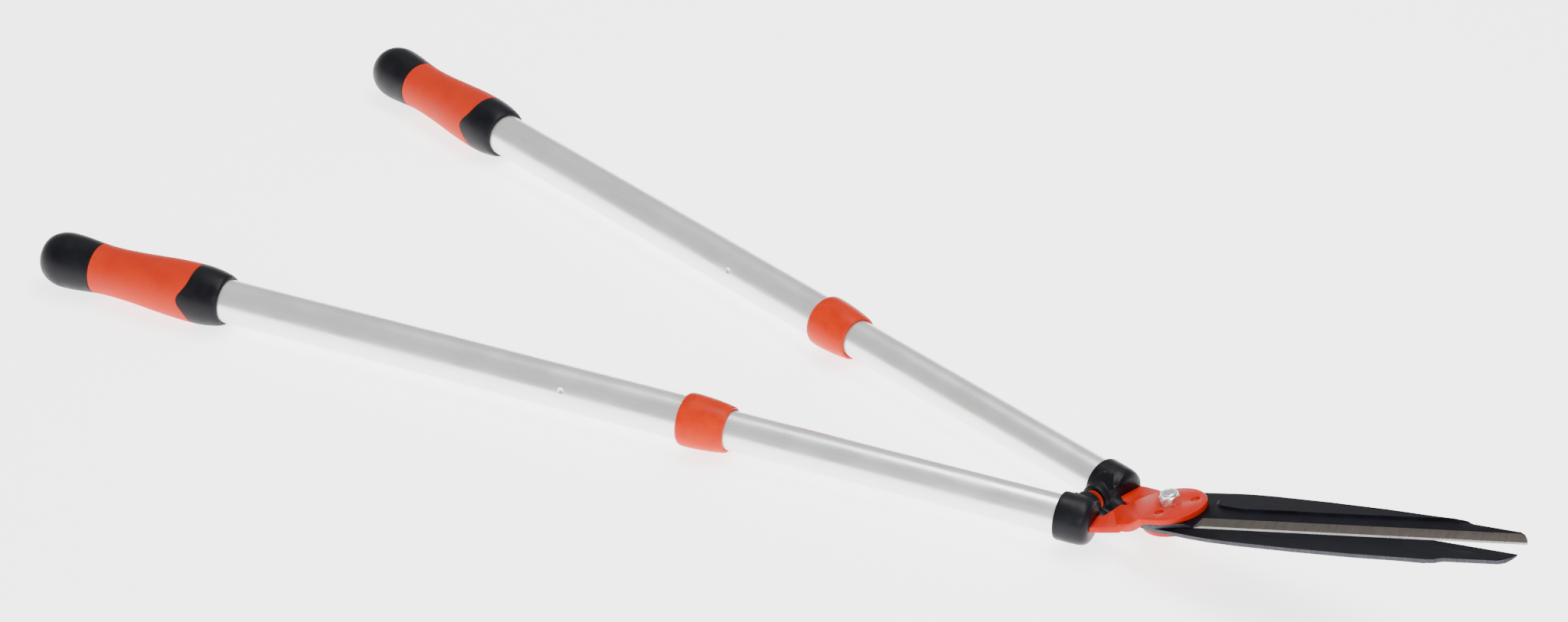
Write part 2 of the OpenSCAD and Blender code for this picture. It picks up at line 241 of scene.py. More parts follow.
# ---- Finishes ----
class Finish:
    """A procedural material: a Principled shader with patterns on Object coordinates."""

    def __init__(self, name):
        self.material = bpy.data.materials.new(name)
        self.material.use_nodes = True
        self.nodes = self.material.node_tree.nodes
        self.links = self.material.node_tree.links
        self.shader = self.nodes["Principled BSDF"]
        self.place = self.nodes.new("ShaderNodeTexCoord").outputs["Object"]
        self.bumps = None

    def frame(self, turn, stretch):
        """Coordinates turned, and stretched along each axis, for a pattern with a direction."""
        mapping = self.nodes.new("ShaderNodeMapping")
        mapping.vector_type = "TEXTURE"
        mapping.inputs["Rotation"].default_value = turn
        mapping.inputs["Scale"].default_value = stretch
        coordinates = self.nodes.new("ShaderNodeTexCoord")
        self.links.new(coordinates.outputs["Object"], mapping.inputs["Vector"])
        return mapping.outputs["Vector"]

    def noise(self, size, detail=3.0, place=None, roughness=0.55):
        """Noise with features of about that size in millimetres."""
        node = self.nodes.new("ShaderNodeTexNoise")
        node.inputs["Scale"].default_value = 1 / (size * MM)
        node.inputs["Detail"].default_value = detail
        node.inputs["Roughness"].default_value = roughness
        self.links.new(place or self.place, node.inputs["Vector"])
        return node.outputs["Fac"]

    def span(self, source, low, high, start=0.35, end=0.65):
        """The pattern spread over the range low to high."""
        node = self.nodes.new("ShaderNodeMapRange")
        for key, value in (("From Min", start), ("From Max", end), ("To Min", low), ("To Max", high)):
            node.inputs[key].default_value = value
        self.links.new(source, node.inputs["Value"])
        return node.outputs["Result"]

    def mix(self, factor, first, second):
        """From the first colour to the second by the factor; a colour is a tuple or a pattern."""
        node = self.nodes.new("ShaderNodeMix")
        node.data_type = "RGBA"
        self.links.new(factor, node.inputs[0])
        # a colour mix has its factor, its two colours and its result on these sockets
        for socket, value in ((node.inputs[6], first), (node.inputs[7], second)):
            if isinstance(value, tuple):
                socket.default_value = (*value, 1)
            else:
                self.links.new(value, socket)
        return node.outputs[2]

    def edges(self, start=0.52, end=0.6):
        """1 on the outer edges of the shape, 0 elsewhere."""
        geometry = self.nodes.new("ShaderNodeNewGeometry")
        return self.span(geometry.outputs["Pointiness"], 0, 1, start, end)

    def times(self, first, second):
        node = self.nodes.new("ShaderNodeMath")
        node.operation = "MULTIPLY"
        self.links.new(first, node.inputs[0])
        self.links.new(second, node.inputs[1])
        return node.outputs[0]

    def bump(self, source, depth, strength):
        """Adds relief of that depth in millimetres."""
        node = self.nodes.new("ShaderNodeBump")
        node.inputs["Strength"].default_value = strength
        node.inputs["Distance"].default_value = depth * MM
        self.links.new(source, node.inputs["Height"])
        if self.bumps:
            self.links.new(self.bumps, node.inputs["Normal"])
        self.bumps = node.outputs["Normal"]
        self.links.new(self.bumps, self.shader.inputs["Normal"])

    def set(self, **values):
        """Fixed numbers on the shader's own sockets."""
        names = {"metal": "Metallic", "rough": "Roughness", "specular": "Specular IOR Level"}
        for key, value in values.items():
            self.shader.inputs[names[key]].default_value = value

    def drive(self, key, source):
        self.links.new(source, self.shader.inputs[key])


def satin_aluminium(name, side):
    """Anodised tube: fine grain with faint drawn lines along the tube."""
    heading = HANDLES[side].to_euler().z
    finish = Finish(name)
    along = finish.frame((0, 0, heading), (40, 1, 1))
    lines = finish.noise(0.5, 3, along)
    grain = finish.noise(0.35, 2)
    patches = finish.noise(26, 3)
    base = finish.mix(finish.span(lines, 0, 1), (0.82, 0.82, 0.805), (0.92, 0.925, 0.92))
    finish.drive("Base Color", base)
    finish.drive("Roughness", finish.span(patches, 0.27, 0.36))
    finish.set(metal=0.82)
    finish.bump(grain, 0.025, 0.5)
    finish.bump(lines, 0.02, 0.5)
    return finish.material


def moulded_black(name, grain_size=0.45, rough=(0.34, 0.46)):
    """Black nylon with a fine spark-eroded grain and slightly rubbed edges."""
    finish = Finish(name)
    grain = finish.noise(grain_size, 2)
    flow = finish.noise(14, 3)
    base = finish.mix(finish.span(flow, 0, 1), (0.0022, 0.0022, 0.0040), (0.0050, 0.0050, 0.0080))
    worn = finish.times(finish.edges(), finish.span(finish.noise(3, 4), 0, 1, 0.4, 0.7))
    finish.drive("Base Color", finish.mix(worn, base, (0.022, 0.022, 0.028)))
    finish.drive("Roughness", finish.span(flow, *rough))
    finish.set(specular=0.16)
    finish.bump(grain, 0.05, 0.45)
    return finish.material


def soft_orange(name):
    """Orange grip rubber: matt, with a fine pebble and a soft mottle."""
    finish = Finish(name)
    pebble = finish.noise(0.55, 2)
    mottle = finish.noise(16, 4)
    base = finish.mix(finish.span(mottle, 0, 1), (0.50, 0.018, 0.0), (0.56, 0.025, 0.0))
    finish.drive("Base Color", finish.mix(finish.span(pebble, 0, 0.35), base, (0.43, 0.013, 0.0)))
    finish.drive("Roughness", finish.span(mottle, 0.55, 0.68))
    finish.set(specular=0.2)
    finish.bump(pebble, 0.09, 0.5)
    finish.bump(mottle, 0.15, 0.25)
    return finish.material


def orange_plastic(name):
    """Moulded orange plastic with a half-gloss and faint flow marks."""
    finish = Finish(name)
    flow = finish.noise(9, 4)
    grain = finish.noise(0.5, 2)
    finish.drive("Base Color", finish.mix(finish.span(flow, 0, 1), (0.50, 0.019, 0.0), (0.57, 0.026, 0.0)))
    finish.drive("Roughness", finish.span(flow, 0.34, 0.44))
    finish.set(specular=0.1)
    finish.bump(grain, 0.03, 0.4)
    return finish.material


def gloss_paint(name):
    """Powder-coated orange-red steel: half-gloss with orange peel, darker specks and rubbed edges."""
    finish = Finish(name)
    peel = finish.noise(1.6, 2)
    depth = finish.noise(11, 3)
    specks = finish.span(finish.noise(0.7, 4), 0, 1, 0.70, 0.76)
    base = finish.mix(finish.span(depth, 0, 1), (0.46, 0.008, 0.0), (0.52, 0.012, 0.0))
    rubbed = finish.times(finish.edges(0.51, 0.56), finish.span(finish.noise(5, 3), 0.3, 1))
    base = finish.mix(rubbed, base, (0.52, 0.014, 0.0))
    finish.drive("Base Color", finish.mix(specks, base, (0.25, 0.003, 0.0)))
    finish.drive("Roughness", finish.span(depth, 0.32, 0.42))
    finish.set(specular=0.15)
    finish.bump(peel, 0.05, 0.2)
    return finish.material


def bright_zinc(name):
    """Bright zinc plating with soft patches and small tool marks."""
    finish = Finish(name)
    patches = finish.noise(2.2, 4)
    marks = finish.noise(0.4, 3)
    base = finish.mix(finish.span(patches, 0, 1), (0.72, 0.74, 0.76), (0.92, 0.93, 0.93))
    finish.drive("Base Color", base)
    finish.drive("Roughness", finish.span(patches, 0.22, 0.34))
    finish.set(metal=1.0)
    finish.bump(marks, 0.03, 0.35)
    return finish.material


def blade_coating(name):
    """Black low-friction coating over rolled steel: satin, with fine lengthwise scuffs."""
    finish = Finish(name)
    along = finish.frame((0, -CRANK, 0), (25, 1, 1))
    scuffs = finish.noise(0.7, 4, along)
    cloud = finish.noise(18, 4)
    grain = finish.noise(0.5, 2)
    base = finish.mix(finish.span(cloud, 0, 1), (0.0016, 0.0016, 0.0034), (0.0042, 0.0042, 0.0080))
    thin = finish.times(finish.edges(0.53, 0.62), finish.span(scuffs, 0, 1, 0.45, 0.7))
    finish.drive("Base Color", finish.mix(thin, base, (0.022, 0.022, 0.028)))
    finish.drive("Roughness", finish.span(cloud, 0.38, 0.48))
    finish.set(specular=0.06)
    finish.bump(scuffs, 0.03, 0.35)
    finish.bump(grain, 0.04, 0.35)
    return finish.material


def sheared_side(name):
    """The sheared sides of a blade: blue-grey with upright tear marks."""
    finish = Finish(name)
    upright = finish.frame((0, -CRANK, 0), (1, 1, 8))
    tears = finish.noise(1.2, 5, upright, 0.7)
    patches = finish.noise(9, 4)
    base = finish.mix(finish.span(tears, 0, 1), (0.014, 0.015, 0.021), (0.038, 0.040, 0.052))
    finish.drive("Base Color", base)
    finish.drive("Roughness", finish.span(patches, 0.42, 0.58))
    finish.set(metal=0.35)
    finish.bump(tears, 0.12, 0.6)
    return finish.material


def ground_steel(name, dark, light, rough):
    """Ground steel: fine lines square to the cutting edge."""
    finish = Finish(name)
    across = finish.frame((0, -CRANK, math.radians(6)), (1, 30, 30))
    lines = finish.noise(0.55, 4, across, 0.7)
    stain = finish.noise(16, 4)
    base = finish.mix(finish.span(lines, 0, 1), dark, light)
    finish.drive("Base Color", finish.mix(finish.span(stain, 0, 0.3), base, (0.11, 0.09, 0.075)))
    finish.drive("Roughness", finish.span(lines, *rough))
    finish.set(metal=0.75)
    finish.bump(lines, 0.04, 0.6)
    return finish.material


def pale_nylon(name):
    """Undyed nylon, a little cloudy."""
    finish = Finish(name)
    cloud = finish.noise(1.5, 3)
    finish.drive("Base Color", finish.mix(finish.span(cloud, 0, 1), (0.42, 0.42, 0.40), (0.58, 0.58, 0.56)))
    finish.drive("Roughness", finish.span(cloud, 0.4, 0.55))
    finish.bump(cloud, 0.05, 0.4)
    return finish.material


FINISHES = {
    "coating": blade_coating("blade_coating"),
    "sheared": sheared_side("blade_side"),
    "ground": ground_steel("ground_bevel", (0.05, 0.043, 0.038), (0.10, 0.088, 0.078), (0.42, 0.6)),
    "honed": ground_steel("honed_edge", (0.75, 0.74, 0.72), (0.95, 0.94, 0.92), (0.2, 0.32)),
    "paint": gloss_paint("plate_paint"),
    "zinc": bright_zinc("zinc_steel"),
    "nylon": pale_nylon("nylon"),
    "black": moulded_black("black_plastic"),
    "grip": moulded_black("grip_black", 0.5, (0.4, 0.52)),
    "rubber": moulded_black("black_rubber", 0.6, (0.55, 0.7)),
    "soft": soft_orange("orange_rubber"),
    "orange": orange_plastic("orange_plastic"),
    "near_tube": satin_aluminium("satin_aluminium_near", "near"),
    "far_tube": satin_aluminium("satin_aluminium_far", "far"),
}


# ---- Blades ----
def bow(centre, radius, start, end, count):
    """Points on an arc, in degrees."""
    turns = [math.radians(start + (end - start) * i / count) for i in range(count + 1)]
    return [(centre[0] + radius * math.cos(turn), centre[1] + radius * math.sin(turn)) for turn in turns]


EDGE_START = Vector((24.6, -18.3, 0))
EDGE_TIP = Vector((260, 6, 0))
EDGE_WAY = (EDGE_TIP - EDGE_START).normalized()
EDGE_IN = Vector((-EDGE_WAY.y, EDGE_WAY.x, 0))

BLADE_OUTLINE = (
    [(24.6, -18.3), (260, 6), (260.8, 4.6), (260.6, 7.6), (259, 10.6), (256, 14), (252, 16.6)]
    + [(216, 20.6), (213, 21.8), (210.5, 23.6), (206, 24.6), (188, 25.6), (150, 28.2), (107, 29.6), (66, 30)]
    + [(44, 29.4), (30, 28), (20, 26.6), (10, 25.4), (0, 24.4), (-7, 22.4)]
    + bow((-8.6, 9.8), 11.5, 104, 180, 7)
    + [(-20.6, -4), (-17.6, -12), (-12.4, -19.6), (-10.4, -22), (-8, -23.6)]
    + [(-3, -24.8), (3, -24.2), (11, -21.7), (20, -18.9)]
)
SPINE_OUTLINE = (
    [(52, 4.8), (84, 8.4), (116, 11.2), (172, 17.4), (200, 20.6), (207, 21.9)]
    + [(204, 23.8), (188, 24.8), (150, 27.4), (107, 28.8), (66, 29.2), (46, 28.6), (32, 27.2)]
    + bow((38, 17.5), 11.5, 145, 262, 8)
)


WHEEL_REACH = (-30, 300)                  # a wheel runs this far along the edge, past both ends
WHEEL_OVERLAP = (6, 4)                    # and this far past the ground strip, outside and inside
WHEEL_HEIGHT = 9
RUN_OUT, RUN_OUT_FOOT = 6, 2.5            # where the run-out facet meets the strip's back and its edge
HONED_W, HONED_LAND, HONED_TOP = 1.5, 0.12, EDGE_LAND + 0.42


def grinding_wheel(name, width, low, high, start_back):
    """A wedge above the ground face that rises from low at the edge to high at that width."""
    clear_selection()
    bpy.ops.mesh.primitive_cube_add(size=0.01)
    tool = bpy.context.object
    tool.name = name
    slope = (high - low) / width
    for vertex in tool.data.vertices:
        along = WHEEL_REACH[0] if vertex.co.x < 0 else WHEEL_REACH[1]
        across = -WHEEL_OVERLAP[0] if vertex.co.y < 0 else width + WHEEL_OVERLAP[1]
        z = low + slope * across + (WHEEL_HEIGHT if vertex.co.z > 0 else 0)
        vertex.co = (EDGE_START + EDGE_WAY * along + EDGE_IN * across + Vector((0, 0, z))) * MM
    # the grind runs out in a slanting facet behind the edge's start
    left = EDGE_START - EDGE_WAY * start_back + Vector((0, 0, BLADE_T))
    right = EDGE_START + EDGE_WAY * RUN_OUT + EDGE_IN * width + Vector((0, 0, BLADE_T))
    foot = EDGE_START + EDGE_WAY * RUN_OUT_FOOT + Vector((0, 0, low))
    normal = (right - left).cross(foot - left).normalized()
    if normal.dot(EDGE_WAY) < 0:
        normal.negate()
    open_piece(tool)
    bpy.ops.mesh.normals_make_consistent(inside=False)
    bpy.ops.mesh.bisect(plane_co=left * MM, plane_no=normal, use_fill=True, clear_inner=True)
    close_piece()
    tidy_mesh(tool)
    return tool


def paint_faces(piece, index, wanted):
    for face in piece.data.polygons:
        if wanted(face):
            face.material_index = index


SPINE_ROOT = 1.5                          # the spine panel starts at this height inside the blade
SPINE_SLOPE = 1.7                         # width of its sloping border
COATED, SHEARED, GROUND, HONED = range(4)    # a blade's faces; those left alone are coated


def make_blade(name, bore, turn):
    """A blade, ground face down; the turn lays it over for the lower blade."""
    blade = outline_face(name, BLADE_OUTLINE, RUNNING_GAP)
    raise_slab(blade, BLADE_T - RUNNING_GAP)
    panel = outline_face("panel", SPINE_OUTLINE, SPINE_ROOT)
    raise_slab(panel, BLADE_T - SPINE_ROOT)
    pick(panel, "FACE", lambda face: face.normal.z > 0.9)
    bpy.ops.mesh.inset(thickness=SPINE_SLOPE * MM, depth=SPINE_RISE * MM)
    close_piece()
    tidy_mesh(panel)
    combine(blade, panel, "UNION")
    soften(blade, 0.35, 2, 60)
    combine(blade, grinding_wheel("bevel_wheel", BEVEL_W, EDGE_LAND, BLADE_T, 4.5), "DIFFERENCE")
    combine(blade, grinding_wheel("honing_wheel", HONED_W, HONED_LAND, HONED_TOP, 0), "DIFFERENCE")
    combine(blade, rod("bore", bore, -1, BLADE_T + 2), "DIFFERENCE")
    for spot in BUTTONS:
        key_hole = rod("key_hole", KEY_HOLE_R, BLADE_T - KEY_HOLE_DEPTH, BLADE_T + 1, spot)
        combine(blade, key_hole, "DIFFERENCE")
    tidy_mesh(blade)
    bevel_normal = (EDGE_IN * -(BLADE_T - EDGE_LAND) + Vector((0, 0, BEVEL_W))).normalized()
    honed_normal = (EDGE_IN * -(HONED_TOP - HONED_LAND) + Vector((0, 0, HONED_W))).normalized()
    paint_faces(blade, SHEARED, lambda face: abs(face.normal.z) < 0.45)
    paint_faces(blade, GROUND, lambda face: face.normal.dot(bevel_normal) > 0.9995)
    paint_faces(blade, HONED, lambda face: face.normal.dot(honed_normal) > 0.9995)
    place(blade, BLADES @ turn)
    smooth(blade, 28)
    apply_modifier(blade, "WEIGHTED_NORMAL", keep_sharp=True)
    return blade


# in the order COATED, SHEARED, GROUND, HONED
BLADE_FINISHES = [FINISHES["coating"], FINISHES["sheared"], FINISHES["ground"], FINISHES["honed"]]
hand_over(make_blade("upper_blade_forged", BUSH_R + RUNNING_GAP, Matrix.Identity(4)), "near_half",
          "blade_steel", BLADE_FINISHES, "upper_blade")
hand_over(make_blade("lower_blade_forged", BUSH_R + 0.02, TURNED_OVER), "far_half",
          "blade_steel", BLADE_FINISHES, "lower_blade")

# ---- Tang plates ----
ARM_TURN = math.radians(39)
ARM_WAY = Vector((-math.cos(ARM_TURN), -math.sin(ARM_TURN), 0))
BEND_START, BEND_END = 22.0, 35.4         # along the arm from the pivot, at the arm's middle
BEND_MIDDLE, BEND_SKEW = 6.5, 0.235       # the bend ends sooner towards the arm's outer edge
BEND_SWEEP = 1.3                          # over 1, the bend starts gently
FLAT_BLEND = 0.36                         # rounds the lower plate's meeting with the handle plane
DISC_MIDDLE, DISC_R = (1.8, -1), 23.5     # the round end of a plate


def plate_corner(s, y):
    """A corner given along and across the near handle, as seen square to the blades."""
    across = y + HANDLE_ASIDE
    x = -s * math.cos(SPLAY) + across * math.sin(SPLAY)
    return (x * math.cos(CRANK), -s * math.sin(SPLAY) - across * math.cos(SPLAY))


UPPER_OUTLINE = (
    [plate_corner(66, 10), plate_corner(58, 10), plate_corner(46.4, 4.8), (-32.9, -17.6), (-9.4, -25.6)]
    + bow(DISC_MIDDLE, DISC_R, -88, 112, 40)
    + [(-12.5, 18), (-17.5, 13.2), (-22.3, 7), (-25.6, 1.1), (-27.6, -4.6)]
    + [(-33.6, -4.0), (-39.6, -2.0), (-42.6, -4.4), (-46.6, -8.8)]
    + [plate_corner(56, -10), plate_corner(66, -10)]
)
# the lower plate's corners are given turned over
LOWER_OUTLINE = (
    [plate_corner(66, 10), plate_corner(57.6, 10), plate_corner(56.6, 12.4)]
    + [(-42.8, -35.4), (-33, -33.4), (-13, -25.4)]
    + bow(DISC_MIDDLE, DISC_R, -98, 112, 44)
    + [(-12.5, 18), (-17.5, 13.2), (-22.3, 7), (-25.6, 1.1), (-29, -6)]
    + [(-33.6, -10.8), (-40.4, -12.6), (-49, -11.2), plate_corner(56.5, -9), plate_corner(66, -10)]
)


def make_plate(name, side, bore):
    """A tang plate: cut flat, then its arm is brought down or up to the handle plane."""
    upper = side == "near"
    mirror = 1 if upper else -1
    points = UPPER_OUTLINE if upper else [(x, -y) for x, y in reversed(LOWER_OUTLINE)]
    plate = outline_face(name, points, 0)
    # the notch and the neck are swept curves
    pick(plate, "VERT", lambda corner: -48 * MM < corner.co.x < -9 * MM)
    bpy.ops.mesh.bevel(offset=1.9 * MM, offset_type="OFFSET", segments=4, affect="VERTICES",
                       clamp_overlap=True)
    close_piece()
    raise_slab(plate, PLATE_T)
    for spot in BUTTONS:
        low, high = (PLATE_T - BUTTON_DEPTH, PLATE_T + 2) if upper else (-2, BUTTON_DEPTH)
        combine(plate, rod("button", BUTTON_R, low, high, (spot[0], spot[1] * mirror), 40), "DIFFERENCE")
    combine(plate, rod("bore", bore, -1, PLATE_T + 1), "DIFFERENCE")
    soften(plate, 0.7, 3, 50)
    # cuts across the arm give the bend its rows of points
    way = ARM_WAY if upper else Vector((-1, 0, 0))
    cuts = [19 + i for i in range(20)] if upper else [38 + 0.8 * i for i in range(14)]
    for cut in cuts:
        open_piece(plate)
        bpy.ops.mesh.bisect(plane_co=way * cut * MM, plane_no=way)
        close_piece()
    for vertex in plate.data.vertices:
        x, height = vertex.co.x / MM, vertex.co.z / MM
        handle_level = -AXIS_DROP / MM - x * math.tan(CRANK) + (height - PLATE_T / 2) / math.cos(CRANK)
        if upper:
            along = vertex.co.dot(way) / MM - (height - PLATE_T / 2) * 0.5
            aside = -vertex.co.x / MM * way.y + vertex.co.y / MM * way.x
            bend_end = BEND_END - (aside - BEND_MIDDLE) * BEND_SKEW
            t = min(1, max(0, (along - BEND_START) / (bend_end - BEND_START))) ** BEND_SWEEP
            vertex.co.z = ((1 - t) * (BLADE_T + height) + t * handle_level) * MM
        else:
            level = height - STACK_TOP
            gap = handle_level - level
            vertex.co.z = (level + (gap + math.sqrt(gap * gap + FLAT_BLEND)) / 2) * MM
    tidy_mesh(plate)
    place(plate, BLADES)
    smooth(plate, 32)
    return plate


hand_over(make_plate("upper_tang_plate_stamped", "near", BUSH_R + RUNNING_GAP), "near_half",
          "plate_paint", [FINISHES["paint"]], "upper_tang_plate")
hand_over(make_plate("lower_tang_plate_stamped", "far", BUSH_R + 0.02), "far_half",
          "plate_paint", [FINISHES["paint"]], "lower_tang_plate")


# ---- Pivot nut ----
def upright(piece):
    """A piece turned about X is stood on Z."""
    place(piece, Matrix.Rotation(-math.pi / 2, 4, "Y"))
    return piece


NUT_CORNER_R = 7.5
NUT_TURN = math.radians(44)
THREAD_HOLE_R = 4.05
# distance along the nut, radius
NUT_DOME = [(-0.1, 0), (-0.1, 7.0), (0.6, 7.6), (4.6, 7.6), (5.5, 6.9), (5.95, 6.2), (5.95, 0)]
NUT_COLLAR = [(5, 0), (5, 6.3), (5.9, 6.25), (6.6, 6.2), (7.2, 6.05), (7.7, 5.7), (8, 5.2),
              (7.95, 4.9), (7.6, 4.75), (6.3, 4.7), (6.3, 0)]


def make_nut(name):
    """A hexagon with domed corners and a raised collar round the insert."""
    hexagon = rod(name, NUT_CORNER_R, 0, 5.9, sides=6)
    place(hexagon, Matrix.Rotation(NUT_TURN, 4, "Z"))
    combine(hexagon, upright(turned("dome", NUT_DOME)), "INTERSECT")
    combine(hexagon, upright(turned("collar", NUT_COLLAR)), "UNION")
    combine(hexagon, rod("thread_hole", THREAD_HOLE_R, -1, 9), "DIFFERENCE")
    soften(hexagon, 0.18, 2, 30)
    tidy_mesh(hexagon)
    place(hexagon, BLADES @ Matrix.Translation((0, 0, (STACK_TOP + RUNNING_GAP) * MM)))
    smooth(hexagon, 30)
    return hexagon


hand_over(make_nut("pivot_nut_forged"), "near_half", "zinc_steel", [FINISHES["zinc"]], "pivot_nut")


# ---- Head caps ----
HEAD_CENTRE = Matrix.Translation(HANDLE_CENTRE)
STUB_X = -67.5                            # the buffers' axis, from the centre of the handle plane
STUB_PROFILE = [(2.6, 0), (2.6, 8.3), (2.75, 9.3), (3.4, 10), (4.6, 10.3), (15, 10.6), (22, 9), (22, 0)]
NOSE_AT = (-57.5, -10.2, -4)              # the middle of the near cap's nose
NOSE_RADII = (12.4, 7.6, 7.4)
FOLD_R = 0.75


def stub_matrix(side):
    """A stub's frame, with X out of the head towards its handle's side; far is near turned over."""
    half = HEAD_CENTRE if side == "near" else HEAD_CENTRE @ TURNED_OVER
    return half @ Matrix.Translation((STUB_X * MM, 0, 0)) @ Matrix.Rotation(-math.pi / 2, 4, "Z")


def ball(name, centre, radii):
    """A sphere stretched to those radii."""
    clear_selection()
    bpy.ops.mesh.primitive_uv_sphere_add(segments=48, ring_count=24, radius=MM)
    piece = bpy.context.object
    piece.name = piece.data.name = name
    open_piece(piece)
    bpy.ops.transform.resize(value=radii)
    bpy.ops.transform.translate(value=[MM * c for c in centre])
    close_piece()
    return piece


# the ends of the folds on the near cap
CAP_FOLDS = [
    ((-61.5, -16.6, 15.8), (-56.4, -8.0, 9.0)),
    ((-55.8, -20.4, 15.6), (-56.4, -8.0, 9.0)),
    ((-70.2, -9.8, 7.6), (-59.2, -7.4, 6.2)),
    ((-68.6, -16.8, 15.2), (-73.0, -13.2, 12.0)),
]


def make_cap(name, side):
    """A cap with its buffer stub, a nose and folds, blended into one moulding."""
    front, rim = CAP_FRONT, CAP_RIM
    profile = [(front, 0), (front, 9.6), (front + 0.5, 12.2), (front + 1.6, 14.2), (front + 3.2, 15.6),
               (front + 5.4, 16.4), (front + 8, 16.7), (front + 14, 16.85), (rim - 1, 16.8),
               (rim + 0.4, 16.6), (rim + 0.9, 15.9), (rim + 0.9, 14.02), (front + 5, 14.02), (front + 5, 0)]
    cap = turned(name, profile, 72)
    place(cap, HANDLES[side])
    stub = turned("stub", STUB_PROFILE, 64)
    place(stub, stub_matrix(side))
    combine(cap, stub, "UNION")
    # a moulded nose fills the notch between the arms, and raised folds run up to the cap
    mirror = 1 if side == "near" else -1
    nose = ball("nose", (NOSE_AT[0], NOSE_AT[1] * mirror, NOSE_AT[2]), NOSE_RADII)
    place(nose, HEAD_CENTRE)
    combine(cap, nose, "UNION")
    for start, end in CAP_FOLDS:
        a, b = (Vector((x, y * mirror, z)) for x, y, z in (start, end))
        fold = ball("fold", (0, 0, 0), ((b - a).length / 2, FOLD_R, FOLD_R))
        turn = (b - a).to_track_quat("X", "Z").to_matrix().to_4x4()
        place(fold, HEAD_CENTRE @ Matrix.Translation((a + b) / 2 * MM) @ turn)
        combine(cap, fold, "UNION")
    apply_modifier(cap, "REMESH", mode="VOXEL", voxel_size=0.5 * MM, adaptivity=0.0)
    apply_modifier(cap, "SMOOTH", factor=0.5, iterations=3)
    smooth(cap, 60)
    return cap


for side in ("near", "far"):
    hand_over(make_cap(side + "_head_cap_moulded", side), side + "_half",
              "black_plastic", [FINISHES["black"]], side + "_head_cap")


# ---- Buffers ----
# distance from the head's middle plane, radius
BUFFER_PROFILE = [(2.05, 0), (2.05, 6.2), (2.25, 6.9), (2.8, 7.4), (4.6, 7.4), (4.6, 0)]


def make_buffer(name, side):
    disc = turned(name, BUFFER_PROFILE, 64)
    place(disc, stub_matrix(side))
    smooth(disc, 50)
    return disc


for side in ("near", "far"):
    hand_over(make_buffer(side + "_buffer_moulded", side), side + "_half",
              "orange_rubber", [FINISHES["soft"]], side + "_buffer")


# ---- Lock collars ----
def make_collar(name, side):
    """A lock collar: a rolled front lip, a swelling barrel and a rounded rear rim."""
    front, rear = COLLAR_FRONT, COLLAR_REAR
    lip = [(front + 5.0, 14.35), (front + 0.9, 14.4), (front + 0.25, 14.7), (front, 15.3),
           (front + 0.1, 15.9), (front + 0.6, 16.4), (front + 1.7, 16.75), (front + 2.6, 16.8)]
    barrel = [(front + 3.4, 16.95), (front + 7, 17.6), (front + 12, 18.2), (front + 18, 18.7),
              (front + 24, 19.05), (front + 29, 19.2), (rear - 3, 19.15)]
    rim = [(rear - 1.4, 18.9), (rear - 0.4, 18.3), (rear, 17.5), (rear - 0.1, 16.6), (rear - 0.6, 16.3)]
    profile = lip + barrel + rim + [(front + 5, 16.3)]
    collar = turned(name, profile + [profile[0]], 96)
    place(collar, HANDLES[side])
    smooth(collar, 45)
    return collar


for side in ("near", "far"):
    hand_over(make_collar(side + "_lock_collar_moulded", side), side + "_lock",
              "orange_plastic", [FINISHES["orange"]], side + "_lock_collar")


# ---- Grips ----
RIM_DROP, RIM_CURVE = 3.6, 2.2            # how far, and how sharply, the flare falls away to the front rim
TONGUES_AT = (12, 192)                    # degrees from the near side upwards
TONGUE_LENGTH, TONGUE_SPREAD = 7, 24
TUBE_SEAT_R = 16.05
# distance behind the grip's front, radius
FRONT_RIM = [(1.2, TUBE_SEAT_R), (0.3, 16.3), (0, 16.9), (0.2, 17.6), (1.0, 18.3), (2.2, 18.9)]
POCKET_DEPTH, PANEL_SKIN = 1.2, 1.1


def ease(a, b, t):
    """Half a cosine wave from a to b while t runs from 0 to 1."""
    return a + (b - a) * (1 - math.cos(math.pi * min(1, max(0, t)))) / 2


def grip_radius(s):
    """The grip's radius at a distance along the handle: flare, waist, bulb and rounded butt."""
    if s < FLARE_AT:
        return FLARE_R - RIM_DROP * ((FLARE_AT - s) / (FLARE_AT - GRIP_FRONT)) ** RIM_CURVE
    if s < WAIST_AT:
        return ease(FLARE_R, WAIST_R, (s - FLARE_AT) / (WAIST_AT - FLARE_AT))
    if s < BULB_AT:
        return ease(WAIST_R, BULB_R, (s - WAIST_AT) / (BULB_AT - WAIST_AT))
    fall = (s - BULB_AT) / (GRIP_END - BULB_AT)
    return BUTT_R + (BULB_R - BUTT_R) * math.sqrt(max(0, 1 - fall ** 2))


def panel_front(degrees):
    """Where the orange panel begins at that angle; a tongue of black runs into it on two sides."""
    wave = 0
    for middle in TONGUES_AT:
        off = (degrees - middle + 180) % 360 - 180
        wave += math.exp(-(off / TONGUE_SPREAD) ** 2)
    return PANEL_FRONT + TONGUE_LENGTH * wave


# A grip's rows of points are (stretch, share of the stretch, height over the grip's surface), or
# ("fixed", distance along the handle, radius).
def body_rows():
    rows = [("fixed", GRIP_FRONT + s, radius) for s, radius in FRONT_RIM]
    rows += [("front", i / 14, 0) for i in range(1, 14)]
    rows += [("panel", -0.004, 0), ("panel", -0.001, -0.25), ("panel", 0, -POCKET_DEPTH)]
    rows += [("panel", i / 6, -POCKET_DEPTH) for i in range(1, 7)]
    rows += [("panel", 1.001, -0.25), ("panel", 1.004, 0)]
    rows += [("rear", i / 26, 0) for i in range(1, 27)]
    return rows + [("fixed", GRIP_END, 0), ("fixed", GRIP_FLOOR, 0), ("fixed", GRIP_FLOOR, TUBE_SEAT_R)]


